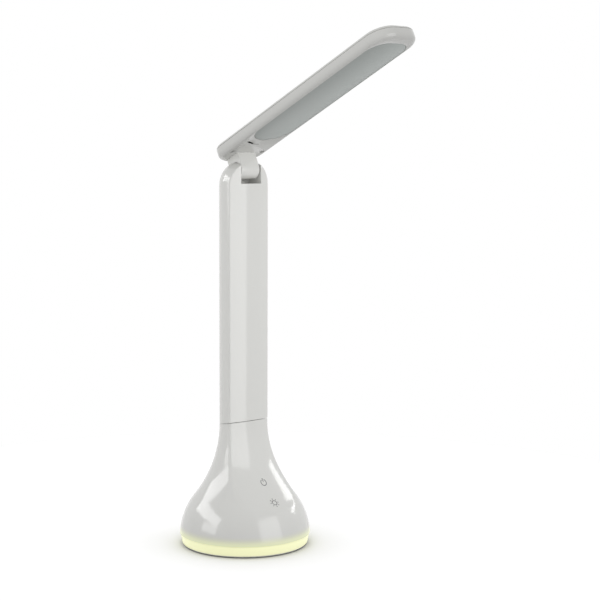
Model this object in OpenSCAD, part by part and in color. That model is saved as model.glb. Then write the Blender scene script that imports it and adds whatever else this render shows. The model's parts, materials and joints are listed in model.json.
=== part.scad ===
// Folding LED desk lamp with a bell base, a straight post and a flat light head on a friction hinge.
// Units are millimetres. The origin is the centre of the base on the table, +Z is up and the front,
// where the head reaches out and folds down, is -Y. Front distances below are counted along -Y.

/* [Base] */
// Largest radius of the bell
base_r = 50.3; // [46:0.1:56]
// Height at which the bell is widest, the centre of its round lower part
wide_z = 6.2; // [5:0.1:9.5]
// Chamfer at the bell's foot
foot_edge = 0.6; // [0.3:0.1:1]
// Height at which the neck of the bell runs straight
neck_z = 94; // [90:0.5:98]
// Wall of the moulded shells
wall = 2.2; // [1.8:0.1:2.6]

/* [Light ring] */
// Height of the ring's top edge, where the bell begins
ring_top = 8.8; // [8:0.1:9.6]
// Step from the bell's widest line in to the ring's top edge
ring_inset = 0.6; // [0.4:0.1:1.2]
// How far the ring draws in towards its foot
ring_slant = 1.5; // [0.6:0.1:1.9]
// Width of the ring at its top edge
ring_w = 4.4; // [3.8:0.1:4.8]

/* [Bottom cover] */
// Thickness of the anti-slip pad
pad_t = 0.8; // [0.6:0.1:1.2]
// Step from the ring's inside in to the anti-slip pad's edge
pad_inset = 1; // [0.5:0.1:4]
// Thickness of the bottom cover
plate_t = 2.4; // [2:0.1:3]
// Thickness of the cover's rim under the light ring
rim_t = 0.8; // [0.6:0.1:1.2]
// Step from the ring's foot in to that rim's edge
rim_inset = 0.7; // [0.4:0.1:1.6]
// Distance from the ring's inside to the circle of cover screws
boss_inset = 8.5; // [8:0.1:9.5]
// Radius of the screw bosses
boss_r = 3.4; // [3:0.1:3.6]

/* [Post] */
// Radius of the post's round back
post_r = 19.6; // [18.8:0.05:20.5]
// Height of the top of the dome
post_top = 295; // [280:1:320]
// Plan radius of the shallow front face
front_r = 48; // [42:0.5:56]
// Distance of the front face from the post's axis
front_s = 8.4; // [7.8:0.1:9.4]
// Radius of the curve in which the front face sweeps out over the bell
flare_r = 71.5; // [64:0.5:80]
// Height at which that sweep begins
flare_z = 92.8; // [89:0.2:96]
// Height of the seam between base and post on the axis
seam_z = 94.9; // [92:0.1:98]
// Slant of the seam, rising to the front
seam_tilt = 9; // [0:0.5:12]
// Front distance of the parting plane between the post's two shells
part_s = 3; // [2.6:0.1:3.4]
// Height where the solid hinge block in the post's head begins
block_z = 268; // [255:1:270]

/* [Hinge] */
// Height of the hinge pin
pin_z = 287.3; // [284:0.1:288]
// Radius of the hinge pin
pin_r = 1.75; // [1.4:0.05:2]
// Half the length of the hinge pin
pin_half = 12.4; // [11.6:0.1:12.6]
// Width of the slot between the ears
slot_w = 19.4; // [19:0.1:20]
// Height of the slot's floor
slot_z = 277; // [275:0.5:279]
// Width of the hinge tongue
tongue_w = 17.4; // [16.8:0.1:17.6]
// Half the thickness of the hinge tongue, and the radius of its round end
tongue_r = 6.5; // [6:0.1:7]
// Lean of the head above level, as the photo shows it
head_tilt = 25; // [0:1:40]
// Furthest the head can open above level
open_tilt = 43; // [40:1:44]
// Outer radius of the bush in the tongue
bush_r = 3.2; // [2.8:0.1:3.6]
// Radial running clearance of the pin
run_fit = 0.05; // [0.02:0.01:0.1]

/* [Head] */
// Distance of the head's near end behind the pin
head_back = 11.25; // [10:0.25:11.5]
// Distance of the head's tip in front of the pin
head_front = 189.5; // [187:0.5:200]
// Half the width of the head
head_hw = 20.2; // [19.7:0.1:21.5]
// Corner radius of the head in plan
head_rc = 12; // [10:0.5:16]
// Distance from the pin up to the head's underside
head_lift = 11; // [10.5:0.1:11.5]
// Thickness of the head
head_t = 9.6; // [9.4:0.1:11]
// Radius of the head's lower edge
edge_low = 3.5; // [2.5:0.1:3.6]
// Radius of the head's upper edge
edge_top = 1.6; // [1:0.1:1.8]
// Wall of the head's shells
head_wall = 1.7; // [1.4:0.1:2]
// Height of the parting line above the underside
head_part = 7.3; // [6.8:0.1:7.6]

/* [Light panel] */
// Half the width of the frosted panel
panel_hw = 17; // [15:0.1:17.2]
// Distance of the panel's near end in front of the pin
panel_near = 29; // [27:0.5:34]
// Distance of the panel's far end in front of the pin
panel_far = 180.5; // [150:0.5:181.5]
// Corner radius of the panel's far end
panel_rc = 13; // [10:0.5:15]
// Number of LEDs along each of the two rows
led_count = 12; // [6:1:16]
// Distance between those rows
row_pitch = 12; // [10:0.5:14]

/* [Inside the base] */
// Clearance between the ballast disc and the screw bosses
ballast_gap = 1.6; // [0.4:0.1:4]
// Thickness of the ballast disc
ballast_t = 4; // [2:0.5:5]
// Radius of the battery cell
cell_r = 9.1; // [7:0.1:9.3]
// Length of the battery cell
cell_l = 65; // [50:1:66]
// Front distance of the cell's axis
cell_s = 4; // [2:0.5:6]
// Height of the control board
board_z = 11; // [10:0.25:11.5]
// Depth of the control board inwards from the ring's inside
board_d = 23; // [21:0.5:25]
// Half the width of the control board
board_hw = 26; // [25:0.5:28]
// Number of LEDs behind the light ring
ring_leds = 12; // [6:1:18]

/* [Touch keys] */
// Height of the middle of the two keys
key_z = 43.5; // [42:0.25:45]
// Distance between the two keys
key_pitch = 18; // [14:0.5:20]

/* [Hidden] */
$fn = 96;
eps = 0.01;
gap = 0.15;
// neck arc of the bell, tangent to the straight post; it bites 0.004 mm into the round lower part,
// so that the two arcs always cross in a clean edge
neck_dz = neck_z - wide_z;
neck_tangent = (pow(post_r, 2) + pow(neck_dz, 2) - pow(base_r, 2)) / (2 * (base_r - post_r));
neck_r = round(neck_tangent * 100) / 100 + 0.02;
meet = 1 / (base_r + neck_r);
// light ring and what seats in it
ring_top_r = base_r - ring_inset;
ring_foot_r = ring_top_r - ring_slant;
ring_in_r = ring_top_r - ring_w;
pad_r = ring_in_r - pad_inset;
rim_r = ring_foot_r - rim_inset;
boss_pcr = ring_in_r - boss_inset;
ballast_r = boss_pcr - boss_r - ballast_gap;
peg_y = ballast_r - 6.8;
peg_r = 2;
// front face, dome and seam
front_y = front_r - front_s;
// the keys sit on the swept face: its front distance and slope at their height
key_drop = flare_z - key_z;
key_s = flare_r + front_s - sqrt(pow(flare_r, 2) - pow(key_drop, 2));
key_tilt = acos(key_drop / flare_r);
dome_z = post_top - post_r;
plate_z = pad_t + plate_t;
ballast_z = plate_z + ballast_t;
cradle_t = 1.2;
cell_z = ballast_z + cradle_t + cell_r + 0.2;
board_t = 1.6;
board_y = ring_in_r - board_d;
flange_z = seam_z - 12.9;
flange_t = 2;
floor_z = flange_z + flange_t;
floor_t = 3;
screw_fit = 0.05;
cover_screw_r = 1.2;
cover_head_r = 2.6;
cover_screw_l = 9;
cover_seat = 1.2;
neck_screw_r = 1;
neck_screw_x = 9;
small_screw_r = 0.9;
small_head_r = 1.8;
small_head_h = 1;
small_screw_l = 5;
lead_w = 3.8;
lead_t = 1.6;
lead_y = 12.2;
rib_t = 1.4;
rib_out = min(sqrt(pow(front_r - wall, 2) - pow(front_y + part_s, 2)),
    sqrt(pow(post_r - wall, 2) - pow(part_s, 2)));
rib_x = rib_out - gap - rib_t / 2;
// screw places
cover_spots = [for (a = [30, 150, 225, 315]) [boss_pcr * cos(a), boss_pcr * sin(a)]];
board_spots = [for (s = [-1, 1]) for (p = [[board_hw - 3, 6], [12, 14]]) [s * p[0], board_y + p[1]]];
key_screw_x = 8.5;
key_spots = [[-key_screw_x, 0], [key_screw_x, 0]];
// charging port
port_w = 7.6;
port_h = 2.7;
port_y = base_r - 7;
// wall behind the keys along their normal, and the face of their board
key_wall = wall + 0.4;
key_board = -key_wall - 6.2;
// head heights above the pin
under = head_lift;
tray_floor = under + 1.6;
part_h = under + head_part;
roof = under + head_t - head_wall;
ledboard_h = roof - 2.3;
head_screw_x = head_hw - 6;
head_screw_spots = [[-head_screw_x, 8.5], [head_screw_x, 8.5]];
knuckle_spots = [[-6, 11.6], [6, 11.6]];
flange_front = 15;
flange_hw = 10;
knuckle_t = 1.6;
led_hw = panel_hw - 2.6;
led_ends = [panel_near + 15, panel_far - 11];
led_rows = [led_ends[0], (led_ends[0] + led_ends[1]) / 2, led_ends[1]];
led_spots = [for (a = led_rows) for (x = [-1, 1]) [x * (led_hw - 3), a]];
panel_lip = 0.9;
white = [0.93, 0.93, 0.9];

// ---- shared forms ----

// half section of the bell, set in by t
module bell_section(t = 0) {
    arc_top = wide_z + neck_dz * (base_r - t) * meet;
    out_x = (post_r + neck_r) * meet * (base_r - t);
    difference() {
        union() {
            intersection() {
                translate([0, wide_z]) circle(base_r - t, $fn = 180);
                square([base_r, neck_z]);
            }
            translate([0, arc_top]) square([out_x, neck_z - arc_top]);
        }
        translate([post_r + neck_r, neck_z]) circle(neck_r + t, $fn = 240);
    }
    translate([0, neck_z]) square([post_r - t, 8]);
}

// everything behind the shallow front face and its sweep, set in by t
module behind_front(t = 0) {
    translate([0, front_y, 0]) rotate(90)
        rotate_extrude($fn = 180) {
            translate([0, flare_z]) square([front_r - t, post_top]);
            difference() {
                square([front_r + flare_r, flare_z]);
                translate([front_r + flare_r, flare_z]) circle(flare_r + t, $fn = 240);
            }
        }
}

// outer form of the base, set in by t
module base_form(t = 0) {
    intersection() {
        rotate(90) rotate_extrude($fn = 144) bell_section(t);
        behind_front(t);
    }
}

// outer form of the post with its dome, set in by t, from height z0
module post_form(t = 0, z0 = 60) {
    intersection() {
        union() {
            translate([0, 0, z0]) cylinder(r = post_r - t, h = dome_z - z0, $fn = 144);
            translate([0, 0, dome_z]) sphere(post_r - t, $fn = 144);
        }
        behind_front(t);
    }
}

// all space above the slanted seam, raised by dz
module above_seam(dz = 0) {
    translate([0, 0, seam_z + dz]) rotate([-seam_tilt, 0, 0])
        translate([-80, -80, 0]) cube([160, 160, 300]);
}

// all space in front of the post's parting plane
module before_parting() {
    translate([-60, -60 - part_s, 0]) cube([120, 60, 400]);
}

// horizontal slice of space from level z0 to level z1
module slice(z0, z1) {
    translate([-80, -80, z0]) cube([160, 160, z1 - z0]);
}

// pan-head screw along +Z, its head's seat at z = 0
module screw(r, head, head_h, len) {
    translate([0, 0, -head_h]) difference() {
        cylinder(r = head, h = head_h);
        for (a = [0, 90]) rotate(a)
            translate([-head * 0.6, -head * 0.12, -eps])
                cube([head * 1.2, head * 0.24, head_h * 0.45]);
    }
    cylinder(r = r, h = len);
}

// puts the head's own frame (pin at the origin, tip along -Y, light downwards) in its place
module on_hinge() {
    translate([0, 0, pin_z]) rotate([-head_tilt, 0, 0]) children();
}

// slab with round corners in plan and rounded edges; a0 behind the pin, a1 in front
module rounded_slab(a0, a1, hw, rc, h0, h1, rb, rt) {
    module edge() {
        translate([0, h0]) square([rc - rb, rb]);
        translate([0, h0 + rb]) square([rc, h1 - h0 - rb - rt]);
        translate([0, h1 - rt]) square([rc - rt, rt]);
        intersection() {
            translate([rc - rb, h0 + rb]) circle(rb);
            translate([rc - rb, h0]) square([rb, rb]);
        }
        intersection() {
            translate([rc - rt, h1 - rt]) circle(rt);
            translate([rc - rt, h1 - rt]) square([rt, rt]);
        }
    }
    run = a1 + a0 - 2 * rc;
    for (s = [0, 1]) mirror([s, 0, 0]) {
        translate([hw - rc, a0 - rc, 0]) rotate_extrude(angle = 90) edge();
        translate([hw - rc, rc - a1, 0]) rotate(-90) rotate_extrude(angle = 90) edge();
        translate([hw - rc, a0 - rc, 0]) rotate([90, 0, 0]) linear_extrude(run) edge();
    }
    for (e = [[a0 - rc, 0], [rc - a1, 180]])
        translate([0, e[0], 0]) rotate(90 + e[1])
            translate([0, hw - rc, 0]) rotate([90, 0, 0]) linear_extrude(2 * (hw - rc)) edge();
    translate([-(hw - rc), rc - a1, h0]) cube([2 * (hw - rc), run, h1 - h0]);
}

// outline of the light panel grown by g
module panel_outline(g = 0) {
    hw = panel_hw + g;
    translate([0, -(panel_near + panel_hw)]) circle(hw);
    translate([-hw, -(panel_far - panel_rc)])
        square([2 * hw, panel_far - panel_rc - panel_near - panel_hw]);
    for (x = [-1, 1]) translate([x * (panel_hw - panel_rc), -(panel_far - panel_rc)])
        circle(panel_rc + g);
    translate([-(panel_hw - panel_rc), -panel_far - g])
        square([2 * (panel_hw - panel_rc), panel_rc + g]);
}

// the frame of the two keys: origin on the outer face, +Z out of the face
module at_keys() {
    translate([0, -key_s, key_z]) rotate([key_tilt, 0, 0]) children();
}

// ---- base ----

module base_bell() color(white) difference() {
    union() {
        difference() {
            intersection() {
                base_form(0);
                slice(ring_top, 140);
            }
            above_seam();
            rotate_extrude($fn = 144)
                polygon([[base_r - foot_edge, ring_top - 1], [base_r - foot_edge, ring_top],
                    [base_r, ring_top + 2 * foot_edge], [base_r + 2, ring_top + 2 * foot_edge],
                    [base_r + 2, ring_top - 1]]);
            intersection() {
                base_form(wall);
                slice(ring_top - 1, flange_z);
            }
            // socket for the post's spigot, above the screw flange
            intersection() {
                post_form(wall + gap, floor_z);
                slice(floor_z, flange_z + 40);
            }
        }
        intersection() {
            base_form(wall / 2);
            base_bosses();
        }
    }
    // cover screws, neck screws, lead, charging port and key-board screws
    for (p = cover_spots) translate([p[0], p[1], plate_z - 1])
        cylinder(r = cover_screw_r + screw_fit, h = cover_screw_l + 4, $fn = 32);
    for (x = [-neck_screw_x, neck_screw_x]) translate([x, 0, flange_z - 1])
        cylinder(r = neck_screw_r + 0.4, h = flange_t + 2, $fn = 32);
    translate([-lead_w / 2 - 0.5, lead_y - 0.5, flange_z - 1])
        cube([lead_w + 1, lead_t + 1, flange_t + 2]);
    translate([-port_w / 2 - 0.3, port_y - 3, board_z + board_t - 0.3])
        cube([port_w + 0.6, 20, port_h + 0.6]);
    at_keys() for (p = key_spots) translate([p[0], p[1], key_board - 1])
        cylinder(r = small_screw_r + screw_fit, h = 4.9, $fn = 32);
}

// screw bosses that stand down from the bell, and the two behind the keys
module base_bosses() {
    for (p = cover_spots) translate([p[0], p[1], plate_z]) cylinder(r = boss_r, h = 60, $fn = 48);
    at_keys() for (p = key_spots) translate([p[0], p[1], key_board]) cylinder(r = 2.4, h = 12, $fn = 48);
}

module light_ring() color([1, 1, 0.78]) difference() {
    union() {
        translate([0, 0, pad_t + rim_t])
            cylinder(r1 = ring_foot_r, r2 = ring_top_r, h = ring_top - pad_t - rim_t);
        cylinder_between(ring_top - 1, ring_top + 1.4, ring_in_r + 1.4);
    }
    cylinder_between(0, 20, ring_in_r);
}

module cylinder_between(z0, z1, r) {
    translate([0, 0, z0]) cylinder(r = r, h = z1 - z0);
}

module bottom_cover() color([0.85, 0.85, 0.83]) difference() {
    union() {
        cylinder_between(pad_t, plate_z, ring_in_r - 0.2);
        cylinder_between(pad_t, pad_t + rim_t, rim_r);
        difference() {
            cylinder_between(plate_z, plate_z + 1.2, ring_in_r - 0.4);
            cylinder_between(plate_z - 1, plate_z + 2, ring_in_r - 3.3);
        }
        for (p = board_spots) translate([p[0], p[1], pad_t])
            cylinder(r = 2, h = board_z - pad_t, $fn = 48);
        for (y = [-peg_y, peg_y]) translate([0, y, pad_t])
            cylinder(r = peg_r, h = ballast_z - pad_t + 0.8, $fn = 48);
    }
    for (p = cover_spots) translate([p[0], p[1], 0]) {
        cylinder(r = cover_screw_r + 0.3, h = 10, $fn = 32);
        cylinder(r = cover_head_r + 0.4, h = pad_t + cover_seat, $fn = 32);
    }
    for (p = board_spots) translate([p[0], p[1], board_z + board_t - small_screw_l - 0.6])
        cylinder(r = small_screw_r + screw_fit, h = small_screw_l, $fn = 32);
}

module foot_pad() color([0.25, 0.25, 0.26]) cylinder(r = pad_r, h = pad_t);

module cover_screws() color([0.7, 0.7, 0.72])
    for (p = cover_spots) translate([p[0], p[1], pad_t + cover_seat])
        screw(cover_screw_r, cover_head_r, cover_seat - 0.2, cover_screw_l);

module ballast() color([0.5, 0.51, 0.53]) difference() {
    cylinder_between(plate_z, ballast_z, ballast_r);
    for (y = [-peg_y, peg_y]) translate([0, y, plate_z - 1])
        cylinder(r = peg_r + 0.2, h = ballast_t + 2, $fn = 48);
}

module battery_cradle() color([0.9, 0.9, 0.88]) difference() {
    translate([-cell_l / 2 - 2.2, -cell_s - cell_r - 1.4, ballast_z])
        cube([cell_l + 4.4, 2 * cell_r + 2.8, cell_r * 0.75]);
    translate([-cell_l / 2 - 0.2, -cell_s, cell_z]) rotate([0, 90, 0])
        cylinder(r = cell_r + 0.2, h = cell_l + 0.4);
    translate([-cell_l / 2 - 4, -cell_s - 4, cell_z - 6]) cube([cell_l + 8, 8, 20]);
}

module battery_cell() color([0.2, 0.45, 0.7]) translate([-cell_l / 2, -cell_s, cell_z]) rotate([0, 90, 0]) {
    cylinder(r = cell_r, h = cell_l - 1.2);
    cylinder(r = cell_r * 0.35, h = cell_l, $fn = 48);
}

module control_board() color([0.1, 0.45, 0.25]) difference() {
    intersection() {
        translate([-board_hw, board_y, board_z]) cube([2 * board_hw, board_d + 2, board_t]);
        cylinder_between(board_z, board_z + board_t, ring_in_r + 1);
    }
    for (p = board_spots) translate([p[0], p[1], board_z - 1])
        cylinder(r = small_screw_r + 0.2, h = 4, $fn = 32);
}

module board_parts() color([0.12, 0.12, 0.13]) translate([0, board_y, board_z + board_t]) {
    translate([-9, 5, 0]) cube([5, 4, 1.6]);
    translate([6, 6.5, 0]) cylinder(r = 3.2, h = 3);
    translate([12.5, 4, 0]) cube([6, 4.5, 4.4]);
    translate([-19, 9, 0]) cube([3.2, 6, 1.4]);
    translate([-2, 3, 0]) cube([2.4, 1.4, 1]);
}

module board_screws() color([0.7, 0.7, 0.72])
    for (p = board_spots) translate([p[0], p[1], board_z + board_t]) mirror([0, 0, 1])
        screw(small_screw_r, small_head_r, small_head_h, small_screw_l);

module charge_socket() color([0.75, 0.75, 0.77]) translate([-port_w / 2, port_y, board_z + board_t]) {
    difference() {
        cube([port_w, 5.7, port_h]);
        translate([0.35, 1, 0.4]) cube([port_w - 0.7, 5, port_h - 0.8]);
    }
    translate([1.9, 0.5, 1.1]) cube([port_w - 3.8, 4, 0.6]);
}

module touch_board() color([0.1, 0.45, 0.25]) at_keys() difference() {
    translate([-key_screw_x - 2.5, -key_pitch / 2 - 3.5, key_board - 1.2])
        cube([2 * key_screw_x + 5, key_pitch + 7, 1.2]);
    for (p = key_spots) translate([p[0], p[1], key_board - 2])
        cylinder(r = small_screw_r + 0.2, h = 3, $fn = 32);
}

module touch_contacts() color([0.72, 0.6, 0.35]) at_keys()
    for (y = [-key_pitch / 2, key_pitch / 2]) translate([0, y, key_board]) {
        cylinder(r = 1.2, h = -key_board - key_wall - 0.5, $fn = 32);
        translate([0, 0, -key_board - key_wall - 1.1]) cylinder(r = 4, h = 0.8, $fn = 64);
        cylinder(r = 2.2, h = 0.8, $fn = 48);
    }

module touch_screws() color([0.7, 0.7, 0.72]) at_keys()
    for (p = key_spots) translate([p[0], p[1], key_board - 1.2]) screw(small_screw_r, small_head_r, 1, 4.5);

module ring_board() color([0.9, 0.9, 0.86]) difference() {
    cylinder_between(plate_z + 1.2, plate_z + 2.2, ring_in_r - 0.4);
    cylinder_between(plate_z, plate_z + 4, ring_in_r - 3);
}

module ring_leds_set() color([1, 0.95, 0.6]) for (k = [0 : ring_leds - 1]) rotate(k * 360 / ring_leds + 15)
    translate([ring_in_r - 2.4, -1.7, plate_z + 2.2]) cube([1.7, 3.4, 1.4]);

// ---- post ----

// slot between the ears, cut back so that the tongue can lean to the head's furthest opening
module slot() {
    back = tongue_r + 0.8;
    translate([-slot_w / 2, 0, pin_z]) rotate([90, 0, 90]) linear_extrude(slot_w) {
        translate([-60, slot_z - pin_z]) square([60 + back, 60]);
        rotate(-open_tilt - 3) translate([-40, 0]) square([40 + back, 60]);
    }
}

module pin_cradle() {
    translate([-pin_half - 0.2, 0, pin_z]) rotate([0, 90, 0])
        cylinder(r = pin_r + run_fit, h = 2 * pin_half + 0.4, $fn = 64);
}

module pin_way() {
    translate([-pin_half - 0.2, -part_s - 1, pin_z - pin_r - run_fit])
        cube([2 * pin_half + 0.4, part_s + 1, 2 * (pin_r + run_fit)]);
}

module post_shell() color(white) difference() {
    union() {
        difference() {
            intersection() {
                post_form(0);
                above_seam();
            }
            intersection() {
                post_form(wall);
                slice(60, block_z);
            }
            before_parting();
        }
        // spigot that stands in the base, with its screw floor
        difference() {
            union() {
                intersection() {
                    post_form(wall + 2 * gap, floor_z);
                    slice(floor_z, seam_z + 8);
                }
                // collar that joins it to the shell
                difference() {
                    intersection() {
                        post_form(wall / 2, floor_z);
                        slice(floor_z, seam_z + 8);
                        above_seam(2 * gap);
                    }
                    before_parting();
                }
            }
            intersection() {
                post_form(2 * wall + 2 * gap, floor_z + floor_t);
                slice(floor_z + floor_t, seam_z + 9);
            }
        }
        for (x = [-neck_screw_x, neck_screw_x]) translate([x, 0, floor_z]) cylinder(r = 2.6, h = 8, $fn = 48);
        // channel for the lead
        intersection() {
            post_form(wall / 2);
            translate([0, 0, seam_z + 8]) for (s = [-1, 1])
                translate([s * (lead_w / 2 + 0.8) - 0.5, lead_y - 0.2, 0]) cube([1, 10, block_z - seam_z - 8]);
        }
    }
    slot();
    pin_cradle();
    pin_way();
    for (x = [-neck_screw_x, neck_screw_x]) translate([x, 0, floor_z - 1])
        cylinder(r = neck_screw_r + screw_fit, h = 8, $fn = 32);
    translate([-lead_w / 2 - 0.3, lead_y - 0.3, floor_z - 1])
        cube([lead_w + 0.6, lead_t + 0.6, block_z - floor_z]);
    translate([0, 5, block_z - 1]) cylinder(r = 2.2, h = slot_z - block_z + 2, $fn = 48);
}

module post_cover() color(white) difference() {
    union() {
        intersection() {
            difference() {
                post_form(0);
                intersection() {
                    post_form(wall);
                    slice(60, block_z);
                }
            }
            above_seam();
            before_parting();
        }
        // snap ribs that reach into the rear shell, and the tongues that close the pin's cradle
        for (s = [-1, 1]) translate([s * rib_x - rib_t / 2, -part_s - 1, seam_z + 9])
            cube([rib_t, part_s + 3, block_z - seam_z - 12]);
        for (s = [0, 1]) mirror([s, 0, 0]) translate([slot_w / 2 + 0.1, -part_s - 0.5, pin_z - pin_r])
            cube([pin_half - slot_w / 2 - 0.2, part_s + 0.5 - pin_r - 0.1, 2 * pin_r]);
    }
    slot();
}

module neck_screws() color([0.7, 0.7, 0.72])
    for (x = [-neck_screw_x, neck_screw_x]) translate([x, 0, flange_z]) screw(neck_screw_r, 2.2, 1.2, 8);

module twin_lead() color([0.9, 0.9, 0.9]) for (s = [-1, 1])
    translate([s * lead_w / 4 - lead_w / 4, lead_y, flange_z - 6])
        cube([lead_w / 2, lead_t, block_z - flange_z + 4]);

// ---- hinge ----

module hinge_pin() color([0.6, 0.6, 0.62]) translate([-pin_half, 0, pin_z]) rotate([0, 90, 0])
    cylinder(r = pin_r, h = 2 * pin_half, $fn = 64);

module friction_washers() color([0.35, 0.35, 0.36]) for (s = [0, 1]) mirror([s, 0, 0])
    translate([tongue_w / 2 + 0.1, 0, pin_z]) rotate([0, 90, 0]) difference() {
        cylinder(r = 5.4, h = (slot_w - tongue_w) / 2 - 0.1);
        translate([0, 0, -1]) cylinder(r = pin_r + run_fit, h = 4, $fn = 64);
    }

module hinge_knuckle() color(white) on_hinge() difference() {
    union() {
        rotate([0, 90, 0]) translate([0, 0, -tongue_w / 2]) cylinder(r = tongue_r, h = tongue_w);
        translate([-tongue_w / 2, -tongue_r, 0]) cube([tongue_w, 2 * tongue_r, tray_floor + 1]);
        translate([-flange_hw, -flange_front, tray_floor])
            cube([2 * flange_hw, flange_front + tongue_r, knuckle_t]);
    }
    translate([-tongue_w, 0, 0]) rotate([0, 90, 0]) cylinder(r = bush_r + screw_fit, h = 2 * tongue_w);
    for (p = knuckle_spots) translate([p[0], -p[1], tray_floor - 1]) cylinder(r = 2.3, h = 4, $fn = 48);
}

module hinge_bush() color([0.75, 0.62, 0.3]) on_hinge() translate([-tongue_w / 2, 0, 0]) rotate([0, 90, 0])
    difference() {
        cylinder(r = bush_r, h = tongue_w);
        translate([0, 0, -1]) cylinder(r = pin_r + run_fit, h = tongue_w + 2, $fn = 64);
    }

module knuckle_screws() color([0.7, 0.7, 0.72]) on_hinge()
    for (p = knuckle_spots) translate([p[0], -p[1], tray_floor + knuckle_t]) mirror([0, 0, 1])
        screw(small_screw_r, 3, 0.9, 2.2);

// ---- head ----

module head_slab(t = 0) {
    rounded_slab(head_back - t, head_front - t, head_hw - t, head_rc - t,
        under + t, under + head_t - t, edge_low - t, edge_top - t * 0.5);
}

module head_level(h0, h1) {
    translate([-60, -260, h0]) cube([120, 320, h1 - h0]);
}

module head_tray() color(white) on_hinge() difference() {
    intersection() {
        head_slab(0);
        head_level(0, part_h);
    }
    difference() {
        rounded_slab(head_back - head_wall, head_front - head_wall, head_hw - head_wall,
            head_rc - head_wall, tray_floor, part_h + 5, 0.5, 0.5);
        for (p = head_screw_spots) translate([p[0], -p[1], 0])
            cylinder(r = 3.6, h = tray_floor + 2.4, $fn = 48);
        for (p = knuckle_spots) translate([p[0], -p[1], 0])
            cylinder(r = 2.15, h = tray_floor + knuckle_t, $fn = 48);
    }
    translate([0, 0, under - 1]) linear_extrude(4) panel_outline(0.12);
    translate([-tongue_w / 2 - 0.1, -tongue_r - 0.1, under - 1])
        cube([tongue_w + 0.2, 2 * tongue_r + 0.2, 4]);
    for (p = head_screw_spots) translate([p[0], -p[1], under - 1]) {
        cylinder(r = 2.1, h = 3.4, $fn = 48);
        cylinder(r = small_screw_r + 0.2, h = 8, $fn = 32);
    }
    for (p = knuckle_spots) translate([p[0], -p[1], tray_floor - 0.8])
        cylinder(r = small_screw_r + screw_fit, h = 4, $fn = 32);
    // curved slot beside the light panel
    translate([0, -(panel_near + panel_hw), under - eps]) rotate(90 + 9)
        rotate_extrude(angle = 29) translate([panel_hw + 6, 0]) square([1.1, 0.9]);
    translate([0, -(panel_near + panel_hw), under - eps]) rotate(90 - 7)
        rotate_extrude(angle = 17) translate([panel_hw + 6.3, 0]) square([0.5, 0.4]);
}

module head_cover() color(white) on_hinge() {
    difference() {
        union() {
            intersection() {
                head_slab(0);
                head_level(part_h, part_h + 20);
            }
            // lip that locates the cover in the tray
            rounded_slab(head_back - head_wall - gap, head_front - head_wall - gap,
                head_hw - head_wall - gap, head_rc - head_wall - gap, part_h - 1.2, roof + 0.2, 0.4, 0.4);
        }
        rounded_slab(head_back - 2 * head_wall, head_front - 2 * head_wall, head_hw - 2 * head_wall,
            head_rc - 2 * head_wall, part_h - 3, roof, 0.4, 0.4);
    }
    difference() {
        union() {
            for (p = head_screw_spots) translate([p[0], -p[1], tray_floor + 2.4])
                cylinder(r = 2.4, h = roof - tray_floor - 2.3, $fn = 48);
            for (p = led_spots) translate([p[0], -p[1], ledboard_h + 1])
                cylinder(r = 2, h = roof - ledboard_h - 0.9, $fn = 48);
        }
        for (p = head_screw_spots) translate([p[0], -p[1], tray_floor])
            cylinder(r = small_screw_r + screw_fit, h = roof - tray_floor, $fn = 32);
        for (p = led_spots) translate([p[0], -p[1], ledboard_h])
            cylinder(r = small_screw_r + screw_fit, h = roof - ledboard_h, $fn = 32);
    }
}

module head_screws() color([0.35, 0.35, 0.37]) on_hinge()
    for (p = head_screw_spots) translate([p[0], -p[1], under + 2.4])
        screw(small_screw_r, small_head_r, 1, 5.2);

module diffuser() color([0.78, 0.82, 0.8]) on_hinge() {
    translate([0, 0, under + 0.25]) linear_extrude(tray_floor - under) panel_outline(0);
    translate([0, 0, tray_floor]) linear_extrude(0.8) panel_outline(panel_lip);
}

module led_board() color([0.92, 0.92, 0.9]) on_hinge() difference() {
    translate([-led_hw, -(panel_far - 4), ledboard_h]) cube([2 * led_hw, panel_far - panel_near - 8, 1]);
    for (p = led_spots) translate([p[0], -p[1], ledboard_h - 1])
        cylinder(r = small_screw_r + 0.2, h = 3, $fn = 32);
}

module head_leds() color([1, 0.95, 0.75]) on_hinge() for (k = [0 : led_count - 1]) for (x = [-1, 1]) {
    a = panel_near + 9 + k * (panel_far - panel_near - 20) / (led_count - 1);
    translate([x * row_pitch / 2 - 1.75, -a - 1.4, ledboard_h - 0.8]) cube([3.5, 2.8, 0.8]);
}

module led_screws() color([0.7, 0.7, 0.72]) on_hinge()
    for (p = led_spots) translate([p[0], -p[1], ledboard_h]) screw(small_screw_r, small_head_r, 0.9, 2.1);

base_bell();
light_ring();
bottom_cover();
foot_pad();
cover_screws();
ballast();
battery_cell();
battery_cradle();
control_board();
board_parts();
board_screws();
charge_socket();
touch_board();
touch_contacts();
touch_screws();
ring_board();
ring_leds_set();
post_shell();
post_cover();
neck_screws();
twin_lead();
hinge_pin();
friction_washers();
hinge_knuckle();
hinge_bush();
knuckle_screws();
head_tray();
head_cover();
head_screws();
diffuser();
led_board();
head_leds();
led_screws();
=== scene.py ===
# %% [markdown]
# # A folding desk lamp in white plastic
# The lamp has a bell-shaped base that stands on a glowing ring, a straight post whose front is
# pressed nearly flat, and a long thin light head on a friction hinge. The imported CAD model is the
# frame: it says how large everything is and what turns. Here the shells that show are modelled
# again with smooth surfaces and soft edges, and every part gets a material made of nodes.

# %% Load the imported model
import json
import math
import bpy
from mathutils import Matrix, Vector

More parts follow.
